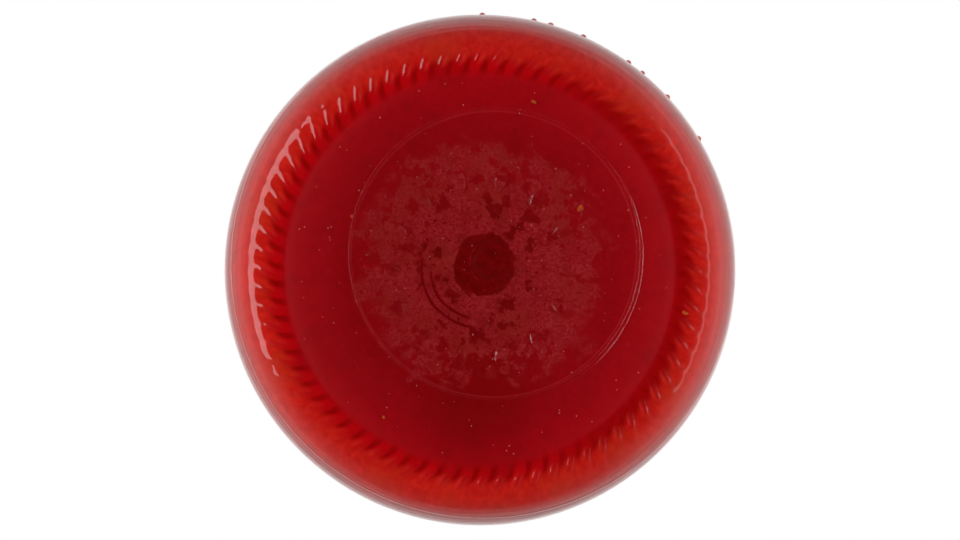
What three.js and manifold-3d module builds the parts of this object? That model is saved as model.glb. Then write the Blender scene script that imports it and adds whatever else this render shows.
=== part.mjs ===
// A clear glass bottle of tomato passata, shut with a lug cap and standing on its knurled base.
// Millimetres, +Z up. The origin is the centre of the base, on the plane that the bottle stands on.
import * as THREE from 'three';
import { mergeVertices } from 'three/addons/utils/BufferGeometryUtils.js';
import Module from 'manifold-3d';

// Outside of the bottle
const bottleRadius = 42;
const bottleHeight = 198;
const heelWidth = 7.3;
const heelHeight = 11.5;
const bandHeight = 4;
const panelDepth = 0.5;
const panelBlend = 3;
const panelTop = 108;
const shoulderFoot = 115;
const shoulderRadius = 38;
const neckBlendRadius = 50;
const neckRadius = 24.8;

// Underside, from the bearing ring to the middle
const bearingFlat = 1.7;
const bearingInnerWidth = 3;
const bearingInnerHeight = 2.2;
const puntDepth = 7;
const domeRadius = 23.5;
const domeRings = [12, 18, domeRadius];
const domeSphere = 90;
const dimpleRadius = 5.6;
const dimpleEdge = 1.6;
const dimpleDepth = 0.4;

// Raised bars that the bottle stands on, all round the bearing ring
const knurlCount = 72;
const knurlHeight = 0.5;
const knurlInner = 32.9;
const knurlOuter = 37.3;
const knurlWidth = 1.7;
const knurlSlant = THREE.MathUtils.degToRad(30);
const knurlRoot = 2;

// Mould dots on the heel, in some of the slots of an even pitch
const dotSlots = [0, 3, 5, 6, 9, 11, 12, 15];
const dotPitch = THREE.MathUtils.degToRad(-3.9);
const dotStart = THREE.MathUtils.degToRad(-31);
const dotRadius = 0.85;
const dotHeight = 0.35;
const dotLevel = 12.5;

// Inside of the bottle
const wall = 2;
const baseThickness = 4;
const floorEdge = 29;
const floorSphere = 90;
const floorRings = [0, 15];
const innerHeelTop = 14;
const innerHeelSag = 6;
const innerHeelRise = 8;
const boreRadius = 21.4;

// Finish, the end of the neck that takes the cap
const finishRadius = 24.7;
const beadRadius = 26.1;
const beadBottom = 180.5;
const beadTop = 185.5;
const beadRound = 1.5;
const rimRound = 1.1;
const threadStarts = 4;
const threadSweep = THREE.MathUtils.degToRad(64);
const threadMiddle = 192.2;
const threadRise = 2.4;
const threadSection = 1;
const threadFade = 1.5;

// Passata
const fillLevel = 165;

// Cap
const capSheet = 0.4;
const capInnerRadius = 26.4;
const capSkirt = 10.4;
const capCorner = 1.6;
const curlHeight = 1.5;
const curlOut = 0.35;
const curlIn = 0.5;
const stepRadius = 20.5;
const stepWidth = 0.8;
const stepDepth = 0.9;
const buttonRadius = 10;
const buttonWaist = 7;
const buttonEdge = 1.2;
const buttonRise = 0.55;
const buttonDish = 0.4;
const lugReach = 1.35;
const lugWidth = 7;
const lugHeight = 1.4;
const lugLift = 0.2;
const lugTurn = THREE.MathUtils.degToRad(-20);

// Clearance between pieces that touch
const gap = 0.3;

// How finely the curves are divided
const turnSegments = 48;
const heelSteps = 8;
const innerHeelSteps = 5;
const shoulderSteps = 4;
const rimSteps = 2;
const capCornerSteps = 2;
const threadSteps = 8;

const wasm = await Module();
wasm.setup();

function at(radius, height) {
  return new THREE.Vector2(radius, height);
}

// Points of an elliptical arc in the half plane of radius and height, both ends included
function arc(centre, radiusAcross, radiusUp, fromDegrees, toDegrees, steps) {
  const points = [];
  for (let i = 0; i <= steps; i++) {
    const degrees = fromDegrees + ((toDegrees - fromDegrees) * i) / steps;
    const angle = THREE.MathUtils.degToRad(degrees);
    points.push(at(centre.x + radiusAcross * Math.cos(angle), centre.y + radiusUp * Math.sin(angle)));
  }
  return points;
}

// How far a sphere falls away from its top at a distance from the axis
function sphereDrop(sphere, radius) {
  return sphere - Math.sqrt(sphere * sphere - radius * radius);
}

// Height of the underside's dome above the table
function domeHeight(radius) {
  return puntDepth - sphereDrop(domeSphere, radius);
}

// The shoulder: an arc off the body and a hollow arc into the neck, which meet in one tangent
function shoulder(bodyRadius, endRadius, outerArc, innerArc) {
  const reach = outerArc + innerArc;
  const across = reach - (bodyRadius - endRadius);
  const rise = Math.sqrt(reach * reach - across * across);
  const turn = THREE.MathUtils.radToDeg(Math.asin(rise / reach));
  const low = at(bodyRadius - outerArc, shoulderFoot);
  const high = at(endRadius + innerArc, shoulderFoot + rise);
  return [
    ...arc(low, outerArc, outerArc, 0, turn, shoulderSteps),
    ...arc(high, innerArc, innerArc, 180 + turn, 180, shoulderSteps).slice(1),
  ];
}

// Profile of the underside and bearing ring, out to the heel's widest point, lowered by some amount
function bearingRing(lowered) {
  const land = knurlHeight - lowered;
  const middle = bottleRadius - heelWidth - bearingFlat / 2;
  const inner = at(middle - bearingFlat / 2, land + bearingInnerHeight);
  const outer = at(middle + bearingFlat / 2, land + heelHeight);
  return [
    ...arc(inner, bearingInnerWidth, bearingInnerHeight, 240, 270, 1),
    ...arc(outer, heelWidth, heelHeight, 270, 360, heelSteps),
  ];
}

function underside() {
  const dimpleTop = puntDepth + dimpleDepth;
  const dome = domeRings.map((radius) => at(radius, domeHeight(radius)));
  return [
    at(0, dimpleTop),
    at(dimpleRadius - dimpleEdge, dimpleTop),
    at(dimpleRadius, domeHeight(dimpleRadius)),
    ...dome,
  ];
}

function outerWall() {
  const panelRadius = bottleRadius - panelDepth;
  const bandTop = knurlHeight + heelHeight + bandHeight;
  return [
    at(bottleRadius, bandTop),
    at(panelRadius, bandTop + panelBlend),
    at(panelRadius, panelTop),
    at(bottleRadius, panelTop + panelBlend),
    ...shoulder(bottleRadius, neckRadius, shoulderRadius, neckBlendRadius),
  ];
}

function finish() {
  const beadWaist = beadRadius - beadRound;
  const rimLevel = bottleHeight - rimRound;
  return [
    at(neckRadius, beadBottom),
    ...arc(at(beadWaist, beadBottom + beadRound), beadRound, beadRound, -60, 0, 1),
    ...arc(at(beadWaist, beadTop - beadRound), beadRound, beadRound, 0, 60, 1),
    at(finishRadius, beadTop),
    ...arc(at(finishRadius - rimRound, rimLevel), rimRound, rimRound, 0, 90, rimSteps),
    ...arc(at(boreRadius + rimRound, rimLevel), rimRound, rimRound, 90, 180, rimSteps),
  ];
}

// The bottle's inner wall from the floor's middle up to the neck, taken in by a clearance
function innerWall(clearance) {
  const floorTop = puntDepth + baseThickness + clearance;
  const radius = bottleRadius - panelDepth - wall;
  const side = radius - clearance;
  const floor = floorRings.map((r) => at(r, floorTop - sphereDrop(floorSphere, r)));
  const edge = at(floorEdge, floorTop - sphereDrop(floorSphere, floorEdge));
  const slope = floorEdge / floorSphere;
  const heel = new THREE.CubicBezierCurve(
    edge,
    at(edge.x + innerHeelSag, edge.y - innerHeelSag * slope),
    at(side, innerHeelTop - innerHeelRise),
    at(side, innerHeelTop),
  );
  const outerArc = shoulderRadius - (bottleRadius - radius) - clearance;
  const innerArc = neckBlendRadius + (neckRadius - boreRadius) + clearance;
  return [
    ...floor,
    ...heel.getPoints(innerHeelSteps),
    ...shoulder(side, boreRadius - clearance, outerArc, innerArc),
  ];
}

// A solid of revolution about Z
function turned(points) {
  const geometry = new THREE.LatheGeometry(points, turnSegments);
  geometry.rotateX(Math.PI / 2);
  return geometry;
}

// A closed geometry as a manifold: equal corners are merged and faces with no area dropped
function solid(geometry) {
  const bare = geometry.clone();
  bare.deleteAttribute('normal');
  bare.deleteAttribute('uv');
  const merged = mergeVertices(bare, 1e-4);
  const corners = merged.index.array;
  const kept = [];
  for (let i = 0; i < corners.length; i += 3) {
    const [a, b, c] = corners.slice(i, i + 3);
    if (a !== b && b !== c && c !== a) kept.push(a, b, c);
  }
  return new wasm.Manifold(new wasm.Mesh({
    numProp: 3,
    vertProperties: new Float32Array(merged.attributes.position.array),
    triVerts: new Uint32Array(kept),
  }));
}

function geometryOf(manifold) {
  const mesh = manifold.getMesh();
  const geometry = new THREE.BufferGeometry();
  geometry.setAttribute('position', new THREE.BufferAttribute(new Float32Array(mesh.vertProperties), 3));
  geometry.setIndex(new THREE.BufferAttribute(new Uint32Array(mesh.triVerts), 1));
  geometry.computeVertexNormals();
  return geometry;
}

function bottleShell() {
  const outside = [...underside(), ...bearingRing(0), ...outerWall(), ...finish()];
  return solid(turned([...outside, ...innerWall(0).reverse()]));
}

// The slanted bars, cut off below by the bearing ring's own rounding lowered by their height
function knurls() {
  const middle = (knurlInner + knurlOuter) / 2;
  const halfStraight = (knurlOuter - knurlInner - knurlWidth) / 2 / Math.cos(knurlSlant);
  const bar = new THREE.Shape();
  bar.absarc(halfStraight, 0, knurlWidth / 2, -Math.PI / 2, Math.PI / 2);
  bar.absarc(-halfStraight, 0, knurlWidth / 2, Math.PI / 2, (Math.PI * 3) / 2);
  let bars = null;
  for (let i = 0; i < knurlCount; i++) {
    const geometry = new THREE.ExtrudeGeometry(bar, { depth: 2 * knurlRoot, bevelEnabled: false, curveSegments: 1 });
    geometry.rotateZ(knurlSlant);
    geometry.translate(middle, 0, -knurlRoot);
    geometry.rotateZ((i * 2 * Math.PI) / knurlCount);
    bars = bars ? bars.add(solid(geometry)) : solid(geometry);
  }
  const lowered = bearingRing(knurlHeight).filter((point) => point.y < knurlRoot);
  const section = [...lowered, at(lowered.at(-1).x, knurlRoot), at(lowered[0].x, knurlRoot), lowered[0]];
  return bars.intersect(solid(turned(section)));
}

function mouldDots() {
  const sphere = (dotRadius * dotRadius + dotHeight * dotHeight) / (2 * dotHeight);
  let dots = null;
  for (const slot of dotSlots) {
    const geometry = new THREE.IcosahedronGeometry(sphere, 1);
    geometry.translate(bottleRadius + dotHeight - sphere, 0, dotLevel);
    geometry.rotateZ(dotStart + slot * dotPitch);
    dots = dots ? dots.add(solid(geometry)) : solid(geometry);
  }
  return dots;
}

// One thread of the finish: a rib on a helix that sinks into the glass at both ends
function threadRib(start) {
  const points = [];
  for (let i = 0; i <= threadSteps; i++) {
    const t = i / threadSteps;
    const angle = start + t * threadSweep;
    const radius = finishRadius - threadFade * Math.pow(Math.abs(2 * t - 1), 6);
    const height = threadMiddle + (t - 0.5) * threadRise;
    points.push(new THREE.Vector3(radius * Math.cos(angle), radius * Math.sin(angle), height));
  }
  const section = new THREE.Shape();
  section.absarc(0, 0, threadSection, 0, 2 * Math.PI);
  const path = new THREE.CatmullRomCurve3(points);
  return new THREE.ExtrudeGeometry(section, { steps: threadSteps, extrudePath: path, curveSegments: 3 });
}

function glassBottle() {
  let bottle = bottleShell().add(knurls()).add(mouldDots());
  for (let i = 0; i < threadStarts; i++) {
    bottle = bottle.add(solid(threadRib((i * 2 * Math.PI) / threadStarts)));
  }
  return geometryOf(bottle);
}

function passata() {
  const below = innerWall(gap).filter((point) => point.y < fillLevel);
  const surface = at(boreRadius - gap, fillLevel);
  return geometryOf(solid(turned([...below, surface, at(0, fillLevel)])));
}

// The cap: a panel stepped down inside the mouth, with a drawn-in button, and a skirt with a rolled edge
function lugCap() {
  const seat = bottleHeight + gap;
  const top = seat + capSheet;
  const foot = top - capSkirt;
  const panel = top - stepDepth;
  const outerRadius = capInnerRadius + capSheet;
  const button = panel + buttonRise;
  const above = [
    at(0, button - buttonDish),
    at(buttonWaist, button - buttonDish / 2),
    at(buttonRadius, button),
    at(buttonRadius + buttonEdge, panel),
    at(stepRadius, panel),
    at(stepRadius + stepWidth, top),
  ];
  const under = above.map((point) => at(point.x + (point.x > 0 ? capSheet / 2 : 0), point.y - capSheet));
  const corner = at(outerRadius - capCorner, top - capCorner);
  const curl = at((outerRadius + capInnerRadius) / 2, foot + curlHeight / 2);
  const profile = [
    ...above,
    ...arc(corner, capCorner, capCorner, 90, 0, capCornerSteps),
    ...arc(curl, capSheet / 2 + curlOut, curlHeight / 2, 60, -90, 2),
    ...arc(curl, capSheet / 2 + curlIn, curlHeight / 2, -130, -240, 2),
    ...arc(corner, capCorner - capSheet, capCorner - capSheet, 0, 90, capCornerSteps),
    ...under.reverse(),
  ];
  let cap = solid(turned(profile.reverse()));
  for (let i = 0; i < threadStarts; i++) {
    const depth = lugReach + capSheet / 2;
    const lug = new THREE.BoxGeometry(depth, lugWidth, lugHeight);
    lug.translate(outerRadius - capSheet / 2 - depth / 2, 0, foot + lugLift + lugHeight / 2);
    lug.rotateZ(lugTurn + (i * 2 * Math.PI) / threadStarts);
    cap = cap.add(solid(lug));
  }
  return geometryOf(cap);
}

function piece(name, geometry, look) {
  const mesh = new THREE.Mesh(geometry, new THREE.MeshStandardMaterial(look));
  mesh.name = name;
  return mesh;
}

const clearGlass = { color: 0xdfeae4, roughness: 0.05, metalness: 0, transparent: true, opacity: 0.3 };
const tomato = { color: 0xa31408, roughness: 0.45, metalness: 0 };
const goldLacquer = { color: 0xc79a3f, roughness: 0.32, metalness: 0.9 };

const group = new THREE.Group();
group.add(piece('glass_bottle', glassBottle(), clearGlass));
group.add(piece('passata', passata(), tomato));
group.add(piece('lug_cap', lugCap(), goldLacquer));

export default group;
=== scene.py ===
# A bottle of tomato passata, looked at from straight below, as it stands on its knurled base.
import math
import random

import bmesh
import bpy
import numpy as np
from mathutils import Euler, Matrix, Vector


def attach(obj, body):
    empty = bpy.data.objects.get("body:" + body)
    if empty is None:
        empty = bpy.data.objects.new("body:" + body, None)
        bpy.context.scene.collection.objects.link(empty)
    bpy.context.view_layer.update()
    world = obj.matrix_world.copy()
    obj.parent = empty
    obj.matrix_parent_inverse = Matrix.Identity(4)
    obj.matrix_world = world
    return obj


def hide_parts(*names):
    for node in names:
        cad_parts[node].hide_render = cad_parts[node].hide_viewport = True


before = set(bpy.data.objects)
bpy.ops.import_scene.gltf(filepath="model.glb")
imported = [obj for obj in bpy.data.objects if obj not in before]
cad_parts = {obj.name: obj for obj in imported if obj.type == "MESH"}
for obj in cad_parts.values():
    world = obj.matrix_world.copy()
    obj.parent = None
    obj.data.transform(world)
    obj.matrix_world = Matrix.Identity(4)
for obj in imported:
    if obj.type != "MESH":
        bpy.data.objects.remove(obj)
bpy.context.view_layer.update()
MM = 0.001
TURN = 2 * math.pi
SEED = 7

# Outside of the bottle. Lengths are in millimetres, and from the heading Studio on in metres
BODY_R = 42.0
HEIGHT = 198.0
HEEL_W = 7.3
HEEL_H = 11.5
BAND_H = 4.0
PANEL_DEPTH = 0.5
PANEL_BLEND = 3.0
PANEL_TOP = 108.0
SHOULDER_Z = 115.0
SHOULDER_ARC = 38.0
NECK_ARC = 50.0
NECK_R = 24.8

# Underside
KNURL_H = 0.355
BEARING_FLAT = 1.7
BEARING_W = 3.0
BEARING_H = 2.2
PUNT = 7.0
DOME_R = 23.5
DOME_SPHERE = 90.0
DIMPLE_R = 5.6
DIMPLE_DEPTH = 0.4

# Slanted bars on the bearing ring, which rise from one radius, fall to another and end in a low tail
KNURLS = 72
KNURL_IN = 32.3
KNURL_RISE = 1.7
KNURL_OUT = 36.2
KNURL_FALL = 1.6
KNURL_TAIL = 0.35
KNURL_TAIL_OUT = 37.9
KNURL_MIDDLE = 34.5
KNURL_SLANT = math.radians(30)

# Mould dots on the heel
DOT_SLOTS = (0, 3, 5, 6, 9, 11, 12, 15)
DOT_PITCH = math.radians(-3.9)
DOT_START = math.radians(-31)
DOT_R = 0.56
DOT_H = 0.42
DOT_Z = 12.5

# Raised grains in a ring on the underside's dome
GRAINS = 14
GRAIN_R = 15.1
GRAIN_LONG = 2.1
GRAIN_WIDE = 1.0
GRAIN_H = 0.28

# A low boss in the dimple, off centre
BOSS_R = 3.2
BOSS_EDGE = 1.25
BOSS_H = 0.36
BOSS_AT = (1.6, -1.2)

# Fine rings as (centre, radius, depth of the bump): two on the dome, and the parting line on the heel
MOULD_RINGS = (((2.3, -2.65), 23.7, 1.1), ((2.75, -2.3), 23.75, 0.6), ((0.6, -0.8), 41.05, 3.5))
MOULD_RING_W = 0.12

# Heights below which the outside has bars, other relief of the base, and mould dots
KNURL_TOP = 3.0
BASE_TOP = 8.0
DOT_TOP = 15.0

# Inside of the bottle
WALL = 2.0
BASE_T = 4.0
FLOOR_EDGE = 29.0
FLOOR_SPHERE = 90.0
INNER_HEEL_Z = 14.0
INNER_HEEL_SAG = 6.0
INNER_HEEL_RISE = 8.0
BORE_R = 21.4
WET = 0.06

# Finish
FINISH_R = 24.7
BEAD_R = 26.1
BEAD_LOW = 180.5
BEAD_TOP = 185.5
BEAD_ROUND = 1.5
RIM_ROUND = 1.1

FILL_Z = 165.0

# Threads of the finish
STARTS = 4
THREAD_SWEEP = math.radians(64)
THREAD_Z = 192.2
THREAD_RISE = 2.4
THREAD_R = 1.0

# Cap
GAP = 0.3
SHEET = 0.4
CAP_R = 26.4
SKIRT = 10.4
CAP_CORNER = 1.6
CURL_H = 1.5
CURL_OUT = 0.35
CURL_IN = 0.5
STEP_R = 20.5
STEP_W = 0.8
STEP_D = 0.9
BUTTON_R = 10.0
BUTTON_WAIST = 7.0
BUTTON_EDGE = 1.2
BUTTON_RISE = 0.55
BUTTON_DISH = 0.4
LUG_SIZE = (1.55, 7.0, 1.4)
LUG_LIFT = 0.2
LUG_TURN = math.radians(-20)

# Bits of pulp under the base as (x, y, half length)
FLECKS = ((16.9, -10.5, 1.05), (8.9, -28.0, 0.7), (33.2, 7.0, 0.8), (-21.3, -9.0, 0.6), (-16.0, 24.5, 0.5))
FLECK_WIDE = 0.6
FLECK_THICK = 0.12

# How many more flecks and bubbles there are, and the smallest and largest half lengths
SIDE_FLECKS = 700
SIDE_FLECK = (0.25, 0.8)
SIDE_FLECK_WIDE = (0.25, 0.7)
UNDER_BUBBLES = 150
UNDER_BUBBLE = (0.07, 0.15)
UNDER_BUBBLE_THICK = 0.09
UNDER_BUBBLES_R = 31.5
SIDE_BUBBLES = 350
SIDE_BUBBLE = (0.06, 0.2)
SIDE_BUBBLE_THICK = 0.1

# Segments round the bottle: few where it is smooth, more where there is relief
COARSE = 120
MIDDLE = 2 * COARSE
FINE = 4 * COARSE
FINEST = 12 * COARSE


# Profiles


def arc(centre, across, up, start, end, steps):
    """Points of an elliptical arc in the half plane of radius and height, angles in degrees."""
    angles = np.radians(np.linspace(start, end, steps + 1))
    return [(centre[0] + across * math.cos(a), centre[1] + up * math.sin(a)) for a in angles]


def line(start, end, steps):
    """Points from start to end without the first."""
    shares = [(i + 1) / steps for i in range(steps)]
    return [tuple(a + (b - a) * s for a, b in zip(start, end)) for s in shares]


def bezier(points, steps):
    """A cubic curve's points, both ends included."""
    found = []
    for t in np.linspace(0, 1, steps + 1):
        weights = ((1 - t) ** 3, 3 * t * (1 - t) ** 2, 3 * t * t * (1 - t), t ** 3)
        found.append(tuple(sum(w * p[i] for w, p in zip(weights, points)) for i in (0, 1)))
    return found


def sphere_drop(sphere, radius):
    return sphere - math.sqrt(sphere * sphere - radius * radius)


def dome_z(radius):
    return PUNT - sphere_drop(DOME_SPHERE, radius)


def shoulder(body, end, outer, inner, steps):
    """An arc off the body and a hollow arc into the neck, in one tangent."""
    reach = outer + inner
    across = reach - (body - end)
    rise = math.sqrt(reach * reach - across * across)
    turn = math.degrees(math.asin(rise / reach))
    low, high = (body - outer, SHOULDER_Z), (end + inner, SHOULDER_Z + rise)
    first = arc(low, outer, outer, 0, turn, steps)
    return first + arc(high, inner, inner, 180 + turn, 180, steps)[1:]


def sized(points, segments):
    return [(r, z, segments) for r, z in points]


def outer_profile():
    """The bottle's outside from the middle of the underside to the rim, each point with its segments."""
    top = PUNT + DIMPLE_DEPTH
    edge_z = dome_z(DIMPLE_R)
    dimple = [(r, top) for r in (0, 0.4, 0.8, 1.2, 1.6, 2.0, 2.4, 2.8)]
    dimple_end = (DIMPLE_R + 0.6, dome_z(DIMPLE_R + 0.6))
    dimple += bezier([(3.2, top), (4.6, top), (5.0, edge_z + 0.06), dimple_end], 9)
    dome = [(r, dome_z(r)) for r in (7.2, 8.4, 9.6, 10.8, 12.0)]
    grains = [(r, dome_z(r)) for r in np.arange(12.7, 17.5, 0.3)]
    edge = [(r, dome_z(r)) for r in (18.2, 19.5, 21.0, 22.3)]
    middle = BODY_R - HEEL_W - BEARING_FLAT / 2
    inner = (middle - BEARING_FLAT / 2, KNURL_H + BEARING_H)
    outer = (middle + BEARING_FLAT / 2, KNURL_H + HEEL_H)
    inner_foot, outer_foot = (inner[0], KNURL_H), (outer[0], KNURL_H)
    ring = arc(inner, BEARING_W, BEARING_H, 258, 270, 3) + line(inner_foot, outer_foot, 6)
    ring += arc(outer, HEEL_W, HEEL_H, 270, 296, 12)[1:]
    start = (DOME_R - 0.9, dome_z(DOME_R - 0.9))
    bend = (DOME_R + 1.3, dome_z(DOME_R) - 0.45)
    toe = arc(inner, BEARING_W, BEARING_H, 238, 258, 4)
    slope = bezier([start, bend, (toe[0][0] - 1.5, toe[0][1] + 0.8), toe[0]], 9) + toe[1:]
    heel = arc(outer, HEEL_W, HEEL_H, 299, 349, 11)
    low_dot, high_dot = outer[1] - 1.0, DOT_Z + DOT_R + 0.1
    dots = [(outer[0] + HEEL_W * math.sqrt(1 - ((outer[1] - z) / HEEL_H) ** 2), z)
            for z in np.linspace(low_dot, outer[1], 3)[:-1]]
    dots += line((BODY_R, outer[1]), (BODY_R, high_dot), 9)
    band_top = KNURL_H + HEEL_H + BAND_H
    panel_r = BODY_R - PANEL_DEPTH
    low = bezier([(BODY_R, band_top), (BODY_R, band_top + 1.4),
                  (panel_r, band_top + 1.4), (panel_r, band_top + PANEL_BLEND)], 7)
    high = bezier([(panel_r, PANEL_TOP), (panel_r, PANEL_TOP + 1.4),
                   (BODY_R, PANEL_TOP + 1.4), (BODY_R, PANEL_TOP + PANEL_BLEND)], 7)
    panel = line(low[-1], high[0], 5)[:-1]
    body = low + panel + high + shoulder(BODY_R, NECK_R, SHOULDER_ARC, NECK_ARC, 12)
    waist = BEAD_R - BEAD_ROUND
    rim = HEIGHT - RIM_ROUND
    finish = line(body[-1], (NECK_R, BEAD_LOW - 0.6), 4)
    finish += arc((waist, BEAD_LOW + BEAD_ROUND), BEAD_ROUND, BEAD_ROUND, -75, 0, 5)
    finish += arc((waist, BEAD_TOP - BEAD_ROUND), BEAD_ROUND, BEAD_ROUND, 0, 75, 5)
    finish += line((FINISH_R, BEAD_TOP + 0.3), (FINISH_R, rim - 0.5), 10)
    finish += arc((FINISH_R - RIM_ROUND, rim), RIM_ROUND, RIM_ROUND, 0, 90, 5)
    finish += arc((BORE_R + RIM_ROUND, rim), RIM_ROUND, RIM_ROUND, 90, 180, 5)
    return (sized(dimple + dome, MIDDLE) + sized(grains, FINE) + sized(edge + slope[:-1], MIDDLE)
            + sized(ring, FINEST) + sized(heel, MIDDLE) + sized(dots, FINEST)
            + sized(body, MIDDLE) + sized(finish, MIDDLE))


def inner_profile(clearance):
    """The bottle's inside from the floor's middle to the neck, moved into the glass by -clearance."""
    top = PUNT + BASE_T + clearance
    radius = BODY_R - PANEL_DEPTH - WALL
    side = radius - clearance
    floor = [(r, top - sphere_drop(FLOOR_SPHERE, r)) for r in (0, 2, 4, 7, 10, 13, 16, 19, 22, 25, 27)]
    edge = (FLOOR_EDGE, top - sphere_drop(FLOOR_SPHERE, FLOOR_EDGE))
    sag = (edge[0] + INNER_HEEL_SAG, edge[1] - INNER_HEEL_SAG * FLOOR_EDGE / FLOOR_SPHERE)
    heel = bezier([edge, sag, (side, INNER_HEEL_Z - INNER_HEEL_RISE), (side, INNER_HEEL_Z)], 16)
    outer = SHOULDER_ARC - (BODY_R - radius) - clearance
    inner = NECK_ARC + (NECK_R - BORE_R) + clearance
    wall = line(heel[-1], (side, SHOULDER_Z), 14)[:-1]
    return floor + heel + wall + shoulder(side, BORE_R - clearance, outer, inner, 14)


# Relief, in millimetres out of the surface, for arrays of angles


def smooth(share):
    return share * share * (3 - 2 * share)


def knurl_relief(radius, angles):
    """Height of the slanted ridges at one radius of the ring. They fade in and out along their length."""
    rise = min(max((radius - KNURL_IN) / KNURL_RISE, 0), 1)
    fall = min(max((KNURL_OUT - radius) / KNURL_FALL, 0), 1)
    tail = min(max((KNURL_TAIL_OUT - radius) / (KNURL_TAIL_OUT - KNURL_OUT + KNURL_FALL), 0), 1)
    fade = smooth(rise) * ((1 - KNURL_TAIL) * smooth(fall) + KNURL_TAIL * tail)
    around = angles * KNURL_MIDDLE - (radius - KNURL_MIDDLE) * math.tan(KNURL_SLANT)
    wave = np.cos(around * KNURLS / KNURL_MIDDLE)
    return KNURL_H * fade * (0.5 + 0.5 * wave) ** 2


def dot_relief(height, angles):
    sphere = (DOT_R * DOT_R + DOT_H * DOT_H) / (2 * DOT_H)
    relief = np.zeros_like(angles)
    for slot in DOT_SLOTS:
        beside = (angles - DOT_START - slot * DOT_PITCH + math.pi) % TURN - math.pi
        away = np.hypot(beside * BODY_R, height - DOT_Z)
        cap = np.sqrt(np.maximum(sphere ** 2 - away ** 2, 0)) - (sphere - DOT_H)
        relief = np.maximum(relief, np.where(away < DOT_R, cap, 0))
    return relief


def grain_relief(radius, angles):
    """Pointed grains that lie along the radius."""
    pitch = TURN / GRAINS
    offset = ((angles + pitch / 2) % pitch - pitch / 2) * radius
    along = abs(radius - GRAIN_R) / GRAIN_LONG
    if along >= 1:
        return np.zeros_like(angles)
    away = np.clip(np.abs(offset) / (GRAIN_WIDE * (1 - along ** 2)), 0, 1)
    return GRAIN_H * (1 - along ** 2) ** 0.5 * (1 - away ** 2) ** 0.7


def boss_relief(radius, angles):
    away = np.hypot(radius * np.cos(angles) - BOSS_AT[0], radius * np.sin(angles) - BOSS_AT[1])
    share = np.clip((BOSS_R - away) / BOSS_EDGE, 0, 1)
    return BOSS_H * smooth(share)


def thread_relief(height, angles):
    """Ribs that rise round the finish, and fade into it at both ends."""
    relief = np.zeros_like(angles)
    for start in range(STARTS):
        share = ((angles - start * TURN / STARTS) % TURN) / THREAD_SWEEP
        middle = THREAD_Z + (share - 0.5) * THREAD_RISE
        rib = np.sqrt(np.maximum(THREAD_R ** 2 - (height - middle) ** 2, 0))
        fade = np.clip((1 - np.abs(2 * share - 1)) / 0.15, 0, 1)
        relief = np.maximum(relief, np.where(share < 1, rib * fade, 0))
    return relief


def outer_relief(radius, height, angles):
    if height < KNURL_TOP and radius > KNURL_IN:
        return knurl_relief(radius, angles)
    if height < DOT_TOP and radius > BODY_R - 1:
        return dot_relief(height, angles)
    if height < BASE_TOP and radius < DIMPLE_R:
        return boss_relief(radius, angles)
    if height < BASE_TOP and radius < DOME_R:
        return grain_relief(radius, angles)
    if BEAD_TOP < height < HEIGHT - RIM_ROUND and radius > FINISH_R - 0.1:
        return thread_relief(height, angles)
    return np.zeros_like(angles)


# Meshes


def normals_of(points):
    """Outward unit normals of a profile's points, in the half plane."""
    flat = np.array([p[:2] for p in points], float)
    ahead = np.vstack([flat[1:], flat[-1:]])
    behind = np.vstack([flat[:1], flat[:-1]])
    along = ahead - behind
    along /= np.maximum(np.linalg.norm(along, axis=1, keepdims=True), 1e-9)
    return np.stack([along[:, 1], -along[:, 0]], axis=1)


def stitch(lower, upper):
    """Faces between two rings of vertex numbers. One may be a pole, or have a multiple of the other's."""
    a, b = len(lower), len(upper)
    if a == 1:
        return [(lower[0], upper[(j + 1) % b], upper[j]) for j in range(b)]
    if b == 1:
        return [(lower[j], lower[(j + 1) % a], upper[0]) for j in range(a)]
    if a >= b:
        k = a // b
        return [
            tuple(lower[(j * k + i) % a] for i in range(k + 1)) + (upper[(j + 1) % b], upper[j])
            for j in range(b)
        ]
    k = b // a
    return [
        (lower[j], lower[(j + 1) % a]) + tuple(upper[(j * k + i) % b] for i in range(k, -1, -1))
        for j in range(a)
    ]


def turned(name, profile, relief=None):
    """A mesh of revolution from (radius, height, segments), with relief out of the surface."""
    normals = normals_of(profile)
    verts, faces, last = [], [], None
    for (radius, height, segments), (out, up) in zip(profile, normals):
        if radius < 1e-6:
            ring = [len(verts)]
            raised = relief(radius, height, np.zeros(1))[0] if relief else 0
            verts.append((0, 0, (height + up * raised) * MM))
        else:
            angles = np.arange(segments) * TURN / segments
            raised = relief(radius, height, angles) if relief else np.zeros(segments)
            r = radius + out * raised
            z = height + up * raised
            ring = list(range(len(verts), len(verts) + segments))
            verts += zip(r * np.cos(angles) * MM, r * np.sin(angles) * MM, z * MM)
        if last is not None:
            faces += stitch(last, ring)
        last = ring
    return shown(name, verts, faces)


def shown(name, verts, faces):
    """A smooth object of these corners, in metres, and faces."""
    mesh = bpy.data.meshes.new(name)
    mesh.from_pydata([tuple(map(float, v)) for v in verts], [], faces)
    mesh.validate()
    mesh.polygons.foreach_set("use_smooth", [True] * len(mesh.polygons))
    piece = bpy.data.objects.new(name, mesh)
    bpy.context.scene.collection.objects.link(piece)
    return piece


def glass_bottle():
    profile = outer_profile() + sized(inner_profile(0), COARSE)[::-1]
    return turned("bottle_glass", profile, outer_relief)


def passata_body():
    """The filling, out to just inside the glass, with its edge drawn up the wall a little."""
    below = [p for p in inner_profile(-WET) if p[1] < FILL_Z]
    edge = BORE_R + WET
    radii = (19.5, 17, 14, 10.5, 7, 3.5, 0)
    level = [(edge, FILL_Z + 0.5), (edge - 0.6, FILL_Z + 0.1)] + [(r, FILL_Z) for r in radii]
    return turned("passata_fill", sized(below + level, COARSE))


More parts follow.
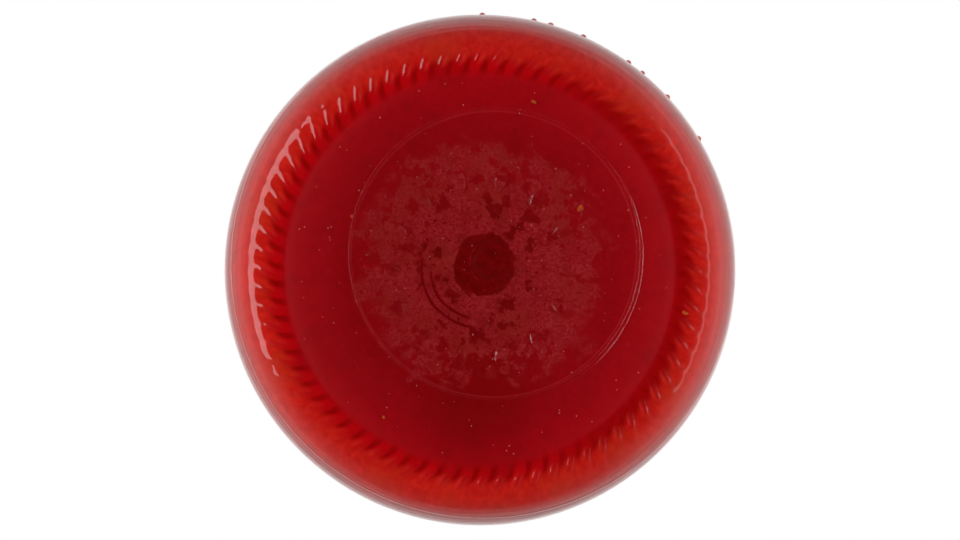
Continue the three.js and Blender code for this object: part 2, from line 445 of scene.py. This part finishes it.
def cap():
    """A panel stepped down inside the mouth, a drawn-in button, and a skirt with a rolled edge."""
    top = HEIGHT + GAP + SHEET
    foot, panel, outer = top - SKIRT, top - STEP_D, CAP_R + SHEET
    button = panel + BUTTON_RISE
    above = [(0, button - BUTTON_DISH), (3.5, button - BUTTON_DISH * 0.85)]
    above += arc((BUTTON_WAIST, button - BUTTON_DISH * 1.5), 1.6, BUTTON_DISH, 110, 60, 3)
    above += arc((BUTTON_R - 0.6, button - 0.4), 0.6, 0.4, 90, 20, 4)
    above += bezier([(BUTTON_R + 0.4, panel + 0.25), (BUTTON_R + 0.7, panel),
                     (BUTTON_R + BUTTON_EDGE, panel), (BUTTON_R + 2, panel)], 3)
    above += bezier([(STEP_R - 0.6, panel), (STEP_R, panel),
                     (STEP_R + 0.3, top), (STEP_R + STEP_W + 0.5, top)], 6)
    under = [(r, z - SHEET) for r, z in above]
    corner = (outer - CAP_CORNER, top - CAP_CORNER)
    curl = ((outer + CAP_R) / 2, foot + CURL_H / 2)
    profile = above + arc(corner, CAP_CORNER, CAP_CORNER, 90, 0, 6)
    profile += arc(curl, SHEET / 2 + CURL_OUT, CURL_H / 2, 62, -90, 8)
    profile += arc(curl, SHEET / 2 + CURL_IN, CURL_H / 2, -100, -240, 7)
    profile += arc(corner, CAP_CORNER - SHEET, CAP_CORNER - SHEET, 0, 90, 5)
    profile += under[::-1]
    piece = turned("gold_cap", sized(profile[::-1], MIDDLE))
    lugs = bmesh.new()
    lugs.from_mesh(piece.data)
    depth, width, height = LUG_SIZE
    middle = (outer - SHEET / 2 - depth / 2, 0, foot + LUG_LIFT + height / 2)
    at = Matrix.Translation([length * MM for length in middle])
    size = Matrix.Diagonal((depth * MM, width * MM, height * MM, 1))
    for i in range(STARTS):
        turn = Matrix.Rotation(LUG_TURN + i * TURN / STARTS, 4, "Z")
        bmesh.ops.create_cube(lugs, size=1, matrix=turn @ at @ size)
    lugs.to_mesh(piece.data)
    lugs.free()
    return piece


def wall_at(height):
    """Inner radius of the glass at a height, in millimetres."""
    points = [p for p in inner_profile(0) if p[1] > INNER_HEEL_Z - INNER_HEEL_RISE + 2 and p[0] > 15]
    return float(np.interp(height, [p[1] for p in points], [p[0] for p in points]))


def floor_at(radius):
    """Height of the inside floor at a radius, in millimetres."""
    points = [p for p in inner_profile(0) if p[1] < INNER_HEEL_Z and p[0] < BODY_R - 4]
    return float(np.interp(radius, [p[0] for p in points], [p[1] for p in points]))


def blobs(name, places, rough):
    """Many small uneven lumps in one mesh, from (position, size, facing) in millimetres."""
    pattern = bmesh.new()
    bmesh.ops.create_icosphere(pattern, subdivisions=1, radius=1)
    corners = np.array([tuple(v.co) for v in pattern.verts])
    triangles = [tuple(v.index for v in f.verts) for f in pattern.faces]
    pattern.free()
    verts, faces = [], []
    for at, size, facing in places:
        spin = Euler((0, 0, random.uniform(0, TURN))).to_quaternion()
        turn = Vector((0, 0, 1)).rotation_difference(facing) @ spin
        wild = 1 + np.array([random.uniform(-rough, rough) for c in corners])
        start = len(verts)
        for corner, scale in zip(corners * np.array(size), wild):
            verts.append((at + turn @ Vector(corner * scale)) * MM)
        faces += [tuple(i + start for i in triangle) for triangle in triangles]
    return shown(name, verts, faces)


def under_place(radius, angle):
    """A place against the inside floor, and the way that it faces."""
    at = Vector((radius * math.cos(angle), radius * math.sin(angle), floor_at(radius)))
    return at, Vector((0, 0, -1))


def side_place(height, angle):
    """A place against the inside wall, and the way that it faces."""
    out = Vector((math.cos(angle), math.sin(angle), 0))
    return out * wall_at(height) + Vector((0, 0, height)), out


def pulp_flecks():
    """Pale orange bits of pulp that lie against the glass, in the base and up the side."""
    places = []
    for x, y, size in FLECKS:
        at, facing = under_place(math.hypot(x, y), math.atan2(y, x))
        places.append((at, (size, size * FLECK_WIDE, FLECK_THICK), facing))
    for i in range(SIDE_FLECKS):
        size = random.uniform(*SIDE_FLECK)
        at, facing = side_place(random.uniform(18, FILL_Z - 1), random.uniform(0, TURN))
        places.append((at, (size, size * random.uniform(*SIDE_FLECK_WIDE), FLECK_THICK), facing))
    return blobs("pulp_flecks", places, 0.3)


def air_bubbles():
    """Pinhead bubbles against the glass."""
    places = []
    for i in range(UNDER_BUBBLES):
        radius = UNDER_BUBBLES_R * math.sqrt(random.random())
        at, facing = under_place(radius, random.uniform(0, TURN))
        size = random.uniform(*UNDER_BUBBLE)
        places.append((at, (size, size, UNDER_BUBBLE_THICK), facing))
    for i in range(SIDE_BUBBLES):
        at, facing = side_place(random.uniform(16, FILL_Z - 1), random.uniform(0, TURN))
        size = random.uniform(*SIDE_BUBBLE)
        places.append((at, (size, size, SIDE_BUBBLE_THICK), facing))
    return blobs("air_bubbles", places, 0.05)


# Materials


class Look:
    """A material under construction, with short ways to add and join its nodes."""

    def __init__(self, name):
        self.material = bpy.data.materials.new(name)
        self.material.use_nodes = True
        self.nodes = self.material.node_tree.nodes
        self.links = self.material.node_tree.links
        self.shader = self.nodes["Principled BSDF"]
        self.output = self.nodes["Material Output"]

    def add(self, kind, **settings):
        node = self.nodes.new(kind)
        for key, value in settings.items():
            setattr(node, key, value)
        return node

    def join(self, source, target):
        self.links.new(source, target)

    def put(self, node, **values):
        """Sets inputs by name, with underscores for spaces."""
        for key, value in values.items():
            node.inputs[key.replace("_", " ")].default_value = value

    def where(self):
        return self.add("ShaderNodeTexCoord").outputs["Object"]

    def noise(self, scale, detail=4.0, roughness=0.5, distortion=0.0, vector=None):
        node = self.add("ShaderNodeTexNoise")
        self.put(node, Scale=scale, Detail=detail, Roughness=roughness, Distortion=distortion)
        self.join(vector or self.where(), node.inputs["Vector"])
        return node.outputs["Fac"]

    def ramp(self, value, low, high, start=0.0, end=1.0):
        """A smooth step from start to end, while the value goes from low to high."""
        node = self.add("ShaderNodeMapRange", interpolation_type="SMOOTHSTEP")
        for key, number in (("From Min", low), ("From Max", high), ("To Min", start), ("To Max", end)):
            node.inputs[key].default_value = number
        self.join(value, node.inputs["Value"])
        return node.outputs["Result"]

    def math(self, operation, *values):
        node = self.add("ShaderNodeMath", operation=operation)
        for socket, value in zip(node.inputs, values):
            if isinstance(value, (int, float)):
                socket.default_value = value
            else:
                self.join(value, socket)
        return node.outputs["Value"]

    def mix(self, share, first, second):
        node = self.add("ShaderNodeMix", data_type="RGBA")
        sockets = node.inputs[0], node.inputs[6], node.inputs[7]
        for socket, value in zip(sockets, (share, first, second)):
            if isinstance(value, (tuple, float)):
                socket.default_value = value
            else:
                self.join(value, socket)
        return node.outputs[2]

    def times(self, first, *others):
        """The product of two or more values."""
        for other in others:
            first = self.math("MULTIPLY", first, other)
        return first

    def fade(self, length, low, high, start=0.0, end=1.0):
        """A ramp over a length in the scene, between two lengths in millimetres."""
        return self.ramp(length, low * MM, high * MM, start, end)

    def wobble(self, length, scale, reach, **settings):
        """A length in the scene with noise added, from nothing up to a reach in millimetres."""
        return self.math("MULTIPLY_ADD", self.noise(scale, **settings), reach * MM, length)

    def off(self, length, middle):
        """How far a length in the scene is from one in millimetres."""
        return self.math("ABSOLUTE", self.math("SUBTRACT", length, middle * MM))

    def squeezed(self, scale):
        """Object coordinates, scaled apart along the three axes."""
        node = self.add("ShaderNodeMapping", vector_type="POINT")
        self.join(self.where(), node.inputs["Vector"])
        node.inputs["Scale"].default_value = scale
        return node.outputs["Vector"]

    def place(self):
        """Object coordinates apart."""
        node = self.add("ShaderNodeSeparateXYZ")
        self.join(self.where(), node.inputs[0])
        return node

    def height(self):
        return self.place().outputs["Z"]

    def azimuth(self):
        place = self.place()
        return self.math("ARCTAN2", place.outputs["Y"], place.outputs["X"])

    def flat_distance(self, centre=(0, 0)):
        """Distance in plan from a point given in millimetres."""
        place = self.place()
        flat = self.add("ShaderNodeCombineXYZ")
        for axis, middle in zip("XY", centre):
            self.join(self.math("SUBTRACT", place.outputs[axis], middle * MM), flat.inputs[axis])
        length = self.add("ShaderNodeVectorMath", operation="LENGTH")
        self.join(flat.outputs[0], length.inputs[0])
        return length.outputs["Value"]

    def bump(self, height, strength, distance):
        node = self.add("ShaderNodeBump")
        self.put(node, Strength=strength, Distance=distance)
        self.join(height, node.inputs["Height"])
        self.join(node.outputs["Normal"], self.shader.inputs["Normal"])


def colour(red, green, blue):
    return (red, green, blue, 1.0)


# The pale film under the filling. Its edge fades between two distances from its centre, with noise added
FILM_AT = (0.8, -0.8)
FILM_EDGE = (25.3, 28.5)
FILM_RAGGED = 14.0

# The clear disc in its middle
DISC_AT = (0.5, -0.7)
DISC_EDGE = (6.6, 6.9)
DISC_RAGGED = 2.8

# A short pale arc in the disc, a painted highlight of the light on the dimple, and bare arcs beside it
DISC_HIGHLIGHT_AT = (2.4, -1.3)
DISC_HIGHLIGHT_R = 4.0
DISC_HIGHLIGHT_EDGE = (0.3, 0.7)
DISC_HIGHLIGHT_RAGGED = 0.8
ARC_PITCH = 1.5
ARCS_IN = (6.8, 7.4)
ARCS_OUT = (10.8, 11.6)

# Radii between which the painted shadow dashes of the ridges fade in and out, and X between which they run
# together
DASH_IN = (31.8, 32.8)
DASH_OUT = (34.2, 35.6)
DASH_JOIN = (6, 24)

# Reds of the base, and the radii between which each turns into the next: middle, inner, slope and ring. They
# are painted shade, darkest in the middle where little side light reaches, and lighter out to the ring
INNER_FROM = (8, 19)
SLOPE_FROM = (21, 31)
RING_FROM = (31.8, 33.2)
MIDDLE_LIT_RED = colour(0.20, 0.0006, 0.0008)
INNER_LIT_RED = colour(0.39, 0.0018, 0.006)
SLOPE_LIT_RED = colour(0.475, 0.0006, 0.005)
RING_LIT_RED = colour(0.60, 0.0003, 0.003)

# Tones of the painted shadow dashes, of dark and light patches, and of the film, whose pink also paints the
# highlight line under a mould ring
DASH_SHADOW_RED = colour(0.37, 0.0001, 0.0003)
CLOT_RED = colour(0.24, 0.001, 0.002)
PULP_RED = colour(0.62, 0.008, 0.016)
FILM_RED = colour(0.38, 0.010, 0.014)
FILM_AND_HIGHLIGHT_PINK = colour(0.52, 0.028, 0.038)
FILM_BROWN = colour(0.40, 0.022, 0.016)

# Painted shade: where the filling over the base is darkest, and how dark
SHADE_AT = (-1.0, 21.5)
SHADE_EDGE = (9, 19)
SHADE_RAGGED = 10.0
SHADE_RED = colour(0.28, 0.0002, 0.0008)

# Reds of the toe, painted lighter as light from the side, of the heel, painted darker as shade, and of the
# body, each from deep to light pulp, and the tones of their patches
TOE_LIT_REDS = (colour(0.64, 0.011, 0.007), colour(0.75, 0.021, 0.012))
TOE_ORANGE = colour(0.62, 0.042, 0.010)
HEEL_SHADED_REDS = (colour(0.31, 0.009, 0.005), colour(0.39, 0.018, 0.008))
HEEL_DARK = colour(0.21, 0.004, 0.003)
BODY_REDS = (colour(0.50, 0.016, 0.006), colour(0.62, 0.034, 0.010))
BODY_DARK = colour(0.36, 0.006, 0.003)
BODY_PALE = colour(0.70, 0.075, 0.021)

# Radii between which the base's red turns into the side's, or heights for what lies further in
SIDE_FROM = (33.5, 35.8)
UPPER_FROM = (20, 21)

# Heights between which the toe's red turns into the heel's, and the heel's into the body's
HEEL_FROM = (5.6, 9.8)
BODY_FROM = (10.5, 14.5)

# The glass's unevenness: its bump, the shares of it, and where the rings round the heel fade out
GLASS_BUMP = 0.04
WAVE_DEPTH = 0.6
HEEL_RING_DEPTH = 2.0
HEEL_RINGS_R = (38, 40)
HEEL_RINGS_TOP = (13, 15)


def heel_rings(look):
    """Fine level rings round the heel."""
    rings = look.noise(1300, detail=3.0, vector=look.squeezed((0.04, 0.04, 1.0)))
    outside = look.fade(look.flat_distance(), *HEEL_RINGS_R)
    return look.times(rings, outside, look.fade(look.height(), *HEEL_RINGS_TOP, 1.0, 0.0))


def glass_look():
    """Clear glass. Rays towards lamps go straight through, so that they light what is inside."""
    look = Look("clear_glass")
    shader = look.shader
    look.put(shader, Base_Color=colour(0.965, 0.985, 0.972), Roughness=0.0, IOR=1.52)
    look.put(shader, Transmission_Weight=1.0)
    relief = look.math("MULTIPLY", look.noise(140, detail=2.0), WAVE_DEPTH)
    low = look.fade(look.height(), BASE_TOP, BASE_TOP + 0.5, 1.0, 0.0)
    for centre, radius, depth in MOULD_RINGS:
        away = look.off(look.flat_distance(centre), radius)
        ring = look.times(look.fade(away, 0.0, MOULD_RING_W, 1.0, 0.0), low)
        relief = look.math("MULTIPLY_ADD", ring, depth, relief)
    relief = look.math("MULTIPLY_ADD", heel_rings(look), HEEL_RING_DEPTH, relief)
    look.bump(relief, 1.0, GLASS_BUMP * MM)
    path = look.add("ShaderNodeLightPath")
    clear = look.add("ShaderNodeBsdfTransparent")
    mixed = look.add("ShaderNodeMixShader")
    look.join(path.outputs["Is Shadow Ray"], mixed.inputs[0])
    look.join(shader.outputs["BSDF"], mixed.inputs[1])
    look.join(clear.outputs["BSDF"], mixed.inputs[2])
    look.join(mixed.outputs["Shader"], look.output.inputs["Surface"])
    return look.material


def film_with_painted_light(look):
    """How much of the base shows the pale film under the filling: torn by specks, holes and arcs, with
    painted shade beside the grains taken out of it and a painted highlight in the disc added.
    """
    edge = look.wobble(look.flat_distance(FILM_AT), 170, FILM_RAGGED, detail=4.0, distortion=1.2)
    film = look.fade(edge, *FILM_EDGE, 1.0, 0.0)
    ragged = look.noise(420, detail=5.0, roughness=0.6)
    level = look.math("MULTIPLY_ADD", look.noise(95, detail=1.0), 0.35, ragged)
    holes = look.times(look.ramp(level, 0.733, 0.752, 1.0, 0.35), look.ramp(level, 0.69, 0.80, 1.0, 0.3))
    specks = look.ramp(look.noise(1500, detail=2.0), 0.645, 0.68, 1.0, 0.0)
    disc = look.flat_distance(DISC_AT)
    clear = look.fade(look.wobble(disc, 330, DISC_RAGGED, detail=4.0), *DISC_EDGE)
    thin = look.ramp(look.noise(300, detail=6.0, roughness=0.7), 0.3, 0.6, 0.55, 1.0)
    # Bare arcs of the film, and painted shade beside the grains
    bare_and_shaded = look.math("MAXIMUM", wiped_arcs(look, disc), grain_shade(look))
    kept = look.math("SUBTRACT", 1.0, bare_and_shaded)
    # The film's share, with the painted highlight in the disc
    return look.math("MAXIMUM", look.times(film, holes, specks, clear, thin, kept), disc_highlight(look))


def disc_highlight(look):
    """A painted highlight: a short pale arc in the left of the clear disc, where the dimple catches the
    light.
    """
    away = look.off(look.flat_distance(DISC_HIGHLIGHT_AT), DISC_HIGHLIGHT_R)
    highlight = look.fade(look.wobble(away, 1100, DISC_HIGHLIGHT_RAGGED, detail=2.0), *DISC_HIGHLIGHT_EDGE, 0.55, 0.0)
    return look.times(highlight, look.fade(look.place().outputs["X"], -0.8, 0.2, 1.0, 0.0))


def wiped_arcs(look, disc):
    """Short bare arcs beside the clear disc, on one side of it."""
    phase = look.math("MULTIPLY", disc, TURN / (ARC_PITCH * MM))
    wave = look.math("MULTIPLY_ADD", look.noise(110, detail=1.0), 5.0, phase)
    width = look.math("MULTIPLY_ADD", look.noise(210, detail=1.0), -1.2, look.math("SINE", wave))
    ends = look.times(look.fade(disc, *ARCS_IN), look.fade(disc, *ARCS_OUT, 1.0, 0.0))
    place = look.place()
    leftward = look.math("SUBTRACT", look.math("MULTIPLY", place.outputs["Y"], 0.75), place.outputs["X"])
    side = look.fade(look.wobble(leftward, 170, 10.0, detail=1.0), 12.5, 14.5)
    return look.times(look.ramp(width, -0.05, 0.2), ends, side)


def grain_shade(look):
    """Painted shade: thin marks along one side of each grain, where the film is taken away so that the
    darker filling shows.
    """
    beside = look.math("SUBTRACT", look.azimuth(), 0.10)
    bent = look.math("MULTIPLY_ADD", look.noise(240, detail=3.0), 0.12, beside)
    wave = look.math("COSINE", look.math("MULTIPLY", bent, float(GRAINS)))
    along = look.off(look.flat_distance(), GRAIN_R)
    ends = look.fade(along, GRAIN_LONG * 0.6, GRAIN_LONG * 1.1, 1.0, 0.0)
    return look.times(look.ramp(wave, 0.86, 0.97, 0.0, 0.75), ends)


def knurl_shade(look):
    """The soft dark dashes that the ridges cast on the filling over them. They run together at the right."""
    radius = look.flat_distance()
    slant = math.tan(KNURL_SLANT) / (KNURL_MIDDLE * MM)
    lag = look.math("MULTIPLY", look.math("SUBTRACT", radius, KNURL_MIDDLE * MM), slant)
    phase = look.math("MULTIPLY", look.math("SUBTRACT", look.azimuth(), lag), float(KNURLS))
    wave = look.math("SUBTRACT", look.math("COSINE", phase), 0.3)
    wave = look.math("MULTIPLY_ADD", look.noise(260, detail=2.0), 0.6, wave)
    dashes = look.ramp(wave, -0.9, 0.2, 1.0, 0.0)
    joined = look.fade(look.place().outputs["X"], *DASH_JOIN, 0.0, 0.75)
    ends = look.times(look.fade(radius, *DASH_IN), look.fade(radius, *DASH_OUT, 1.0, 0.0))
    return look.times(look.math("MAXIMUM", dashes, joined), ends)


def base_colour(look, pulp, coarse):
    """Crimson over the base, painted darker as shade toward the middle and at one side, with painted shadow
    dashes under the ridges, the film in front, and a painted highlight line under one of the mould rings.
    """
    radius = look.flat_distance()
    # Painted shade: the red darkens from the ring in to the middle, where little light comes
    base = look.mix(look.fade(radius, *INNER_FROM), MIDDLE_LIT_RED, INNER_LIT_RED)
    base = look.mix(look.fade(radius, *SLOPE_FROM), base, SLOPE_LIT_RED)
    # Painted shadows of the ridges, as dark dashes over the ring's red
    ring = look.mix(knurl_shade(look), RING_LIT_RED, DASH_SHADOW_RED)
    base = look.mix(look.fade(radius, *RING_FROM), base, ring)
    base = look.mix(look.ramp(coarse, 0.45, 0.75, 0.0, 0.3), base, CLOT_RED)
    base = look.mix(look.ramp(pulp, 0.3, 0.75, 0.0, 0.22), base, PULP_RED)
    # Painted shade, darker toward one side of the base
    shade = look.wobble(look.flat_distance(SHADE_AT), 120, SHADE_RAGGED, detail=2.0)
    base = look.mix(look.fade(shade, *SHADE_EDGE, 0.55, 0.0), base, SHADE_RED)
    fibres = look.ramp(look.noise(2200, detail=3.0, roughness=0.7), 0.35, 0.68)
    film = look.mix(fibres, FILM_RED, FILM_AND_HIGHLIGHT_PINK)
    brown = look.ramp(look.noise(130, detail=3.0), 0.45, 0.65, 0.0, 0.6)
    film = look.mix(brown, film, FILM_BROWN)
    base = look.mix(film_with_painted_light(look), base, film)
    # A thin pale line painted on the filling under the first mould ring, as the ring's highlight
    ring_at, ring_r = MOULD_RINGS[0][:2]
    ring_highlight = look.fade(look.off(look.flat_distance(ring_at), ring_r), 0.04, 0.2, 0.4, 0.0)
    return look.mix(ring_highlight, base, FILM_AND_HIGHLIGHT_PINK)


def side_colour(look, pulp, coarse):
    """Orange-red at the toe, as painted light from the side, darker round the heel as painted shade, and
    lighter and mottled up the body.
    """
    light = look.ramp(pulp, 0.35, 0.7)
    # Painted light: the toe's red is lighter, as the side light glows through the heel
    toe = look.mix(light, *TOE_LIT_REDS)
    toe = look.mix(look.ramp(look.noise(120, detail=3.0), 0.48, 0.68, 0.0, 0.45), toe, TOE_ORANGE)
    # Painted shade: the heel's red is darker than the body's
    heel = look.mix(light, *HEEL_SHADED_REDS)
    heel = look.mix(look.ramp(coarse, 0.4, 0.7, 0.0, 0.35), heel, HEEL_DARK)
    body = look.mix(light, *BODY_REDS)
    body = look.mix(look.ramp(coarse, 0.42, 0.62, 0.0, 0.6), body, BODY_DARK)
    pale = look.ramp(look.noise(480, detail=3.0, roughness=0.6), 0.56, 0.68, 0.0, 0.6)
    body = look.mix(pale, body, BODY_PALE)
    height = look.height()
    above = look.mix(look.fade(height, *BODY_FROM), heel, body)
    return look.mix(look.fade(height, *HEEL_FROM), toe, above)


def passata_look():
    """Crimson below, painted dark as shade where little light comes, and orange-red up the heel and the
    side, with painted light at the toe and painted shade round the heel.
    """
    look = Look("tomato_passata")
    look.put(look.shader, Roughness=0.5, Specular_IOR_Level=0.0)
    look.put(look.shader, Subsurface_Weight=0.6, Subsurface_Scale=0.0016)
    look.shader.inputs["Subsurface Radius"].default_value = (1.0, 0.22, 0.1)
    pulp = look.noise(900, detail=5.0, roughness=0.65)
    coarse = look.noise(260, detail=4.0, roughness=0.55)
    outward = look.fade(look.flat_distance(), *SIDE_FROM)
    side = look.math("MAXIMUM", outward, look.fade(look.height(), *UPPER_FROM))
    tone = look.mix(side, base_colour(look, pulp, coarse), side_colour(look, pulp, coarse))
    look.join(tone, look.shader.inputs["Base Color"])
    return look.material


def fleck_look():
    look = Look("pulp_orange")
    look.put(look.shader, Roughness=0.5, Specular_IOR_Level=0.0)
    tone = look.mix(look.noise(700), colour(0.7, 0.07, 0.02), colour(0.62, 0.14, 0.03))
    look.join(tone, look.shader.inputs["Base Color"])
    return look.material


def bubble_look():
    look = Look("pinhead_bubbles")
    look.put(look.shader, Roughness=0.3, Specular_IOR_Level=0.0)
    tone = look.mix(look.noise(900), colour(0.8, 0.25, 0.24), colour(0.85, 0.45, 0.42))
    look.join(tone, look.shader.inputs["Base Color"])
    return look.material


def lacquer_look():
    """Gold lacquer on tinplate, faintly brushed by the rolling of the sheet."""
    look = Look("gold_lacquer")
    look.put(look.shader, Metallic=1.0)
    brushed = look.noise(2600, detail=3.0, vector=look.squeezed((0.05, 1.0, 1.0)))
    cloudy = look.noise(90, detail=3.0)
    tone = look.mix(look.ramp(cloudy, 0.3, 0.7), colour(0.62, 0.36, 0.10), colour(0.68, 0.41, 0.13))
    look.join(tone, look.shader.inputs["Base Color"])
    look.join(look.ramp(brushed, 0.3, 0.7, 0.22, 0.34), look.shader.inputs["Roughness"])
    look.bump(look.noise(45, detail=2.0), 0.25, 0.0003)
    return look.material


def floor_look():
    """Pale and matt from above, and clear from below."""
    look = Look("pale_floor")
    look.put(look.shader, Roughness=0.9, Specular_IOR_Level=0.2)
    tone = look.mix(look.ramp(look.noise(30), 0.3, 0.7), colour(0.8, 0.8, 0.8), colour(0.84, 0.84, 0.84))
    look.join(tone, look.shader.inputs["Base Color"])
    side = look.add("ShaderNodeNewGeometry")
    clear = look.add("ShaderNodeBsdfTransparent")
    mixed = look.add("ShaderNodeMixShader")
    look.join(side.outputs["Backfacing"], mixed.inputs[0])
    look.join(look.shader.outputs["BSDF"], mixed.inputs[1])
    look.join(clear.outputs["BSDF"], mixed.inputs[2])
    look.join(mixed.outputs["Shader"], look.output.inputs["Surface"])
    return look.material


def dress(piece, material, slot, *nodes):
    piece.data.materials.append(material)
    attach(piece, "root")
    if nodes:
        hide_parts(*nodes)


# Studio


def curve(nodes, links, value, stops):
    """A grey ramp over a direction's height, from (height, tone) with height from -1 to 1."""
    ramp = nodes.new("ShaderNodeValToRGB")
    elements = ramp.color_ramp.elements
    for i, (height, tone) in enumerate(stops):
        element = elements[i] if i < 2 else elements.new((height + 1) / 2)
        element.position, element.color = (height + 1) / 2, (tone, tone, tone, 1)
    links.new(value, ramp.inputs[0])
    return ramp.outputs[0]


# Brightness of the surroundings by height, from straight down at -1 to straight up at 1
PLAIN_SKY = ((-1.0, 0.015), (-0.5, 0.06), (-0.1, 0.15), (0.03, 0.22), (0.12, 0.4),
             (0.19, 0.62), (0.34, 0.62), (0.5, 0.95), (0.75, 0.85), (0.95, 1.0))
SIDE_SKY = ((-1.0, 0.0), (-0.82, 0.0), (-0.62, 0.3), (-0.45, 0.5), (-0.1, 0.65),
            (0.0, 0.75), (0.2, 0.7), (0.36, 0.4), (0.57, 0.0))

# Lamps, in metres and degrees. At this polar angle the keys' upper edges stay just below the floor
LAMP_DISTANCE = 0.8
KEY_POLAR = 69
KEY_SIZE = (1.0, 0.6)
KEYS = (("key_left", 180, 2.1), ("key_right", 0, 1.65))
CARDS = (("card_left", 188, 60.5, (0.87, 0.3), 2.9), ("card_right", -3, 61, (0.96, 0.12), 1.1))


def sky():
    """White above, dark below where the camera stands, and brighter at the left and right."""
    world = bpy.data.worlds.new("studio")
    bpy.context.scene.world = world
    world.use_nodes = True
    nodes, links = world.node_tree.nodes, world.node_tree.links
    where = nodes.new("ShaderNodeTexCoord")
    split = nodes.new("ShaderNodeSeparateXYZ")
    links.new(where.outputs["Generated"], split.inputs[0])
    spread = nodes.new("ShaderNodeMapRange")
    spread.inputs["From Min"].default_value = -1
    links.new(split.outputs["Z"], spread.inputs["Value"])
    square = nodes.new("ShaderNodeMath")
    square.operation = "MULTIPLY"
    links.new(split.outputs["X"], square.inputs[0])
    links.new(split.outputs["X"], square.inputs[1])
    total = nodes.new("ShaderNodeMath")
    total.operation = "MULTIPLY_ADD"
    links.new(square.outputs[0], total.inputs[0])
    links.new(curve(nodes, links, spread.outputs[0], SIDE_SKY), total.inputs[1])
    links.new(curve(nodes, links, spread.outputs[0], PLAIN_SKY), total.inputs[2])
    links.new(total.outputs[0], nodes["Background"].inputs["Color"])


def soft_box(name, azimuth, polar, size, radiance):
    """A flat lamp that faces the base, unseen by the camera. Its polar angle is from straight down."""
    a, p = math.radians(azimuth), math.radians(polar)
    towards = Vector((math.sin(p) * math.cos(a), math.sin(p) * math.sin(a), -math.cos(p)))
    lamp = bpy.data.lights.new(name, "AREA")
    lamp.shape = "RECTANGLE"
    lamp.size, lamp.size_y = size
    lamp.energy = radiance * size[0] * size[1] * math.pi
    box = bpy.data.objects.new(name, lamp)
    turn = (-towards).to_track_quat("-Z", "Y").to_matrix().to_4x4()
    box.matrix_world = Matrix.Translation(towards * LAMP_DISTANCE) @ turn
    box.visible_camera = False
    bpy.context.scene.collection.objects.link(box)
    return box


def lamps():
    """Two broad lamps light the filling. Narrower ones show only as reflections in the glass."""
    for name, azimuth, radiance in KEYS:
        key = soft_box(name, azimuth, KEY_POLAR, KEY_SIZE, radiance)
        key.visible_glossy = False
    for card in (soft_box(*settings) for settings in CARDS):
        card.visible_diffuse = card.visible_transmission = False


def floor():
    """A floor that curves up into a wall all round, seen from above alone."""
    radius, corner, top, segments = 2.6, 0.6, 2.2, 96
    profile = [(0.0, 0.0), (0.3, 0.0), (1.0, 0.0)]
    for degrees in range(0, 91, 10):
        a = math.radians(degrees)
        profile.append((radius - corner + corner * math.sin(a), corner - corner * math.cos(a)))
    profile.append((radius, top))
    rings = [(r / MM, z / MM, segments) for r, z in profile]
    stage = turned("studio_floor", rings)
    stage.data.flip_normals()
    stage.data.materials.append(floor_look())
    stage.visible_diffuse = stage.visible_glossy = stage.visible_transmission = False
    stage.visible_shadow = stage.visible_volume_scatter = False


def camera():
    """Straight below the base, far off, framed by the widths of the photograph and of the bottle in it."""
    lens, sensor = 135.0, 36.0
    frame_pixels, bottle_pixels = 960.0, 510.5
    across = 2 * BODY_R * MM * frame_pixels / bottle_pixels
    data = bpy.data.cameras.new("camera")
    data.lens, data.sensor_width = lens, sensor
    data.clip_start, data.clip_end = 0.01, 20
    eye = bpy.data.objects.new("camera", data)
    down = across * lens / sensor - (KNURL_H + HEEL_H) * MM
    right, up = Vector((1, 0, 0)), Vector((0, -1, 0))
    back = right.cross(up)
    turn = Matrix((right, up, back)).transposed().to_4x4()
    eye.matrix_world = Matrix.Translation((0, 0, -down)) @ turn
    bpy.context.scene.collection.objects.link(eye)
    bpy.context.scene.camera = eye


random.seed(SEED)
camera()
sky()
lamps()
floor()
dress(glass_bottle(), glass_look(), "glass", "glass_bottle")
dress(passata_body(), passata_look(), "passata", "passata")
dress(pulp_flecks(), fleck_look(), "passata")
dress(air_bubbles(), bubble_look(), "passata")
dress(cap(), lacquer_look(), "cap", "lug_cap")

bpy.context.scene.view_settings.view_transform = "Standard"
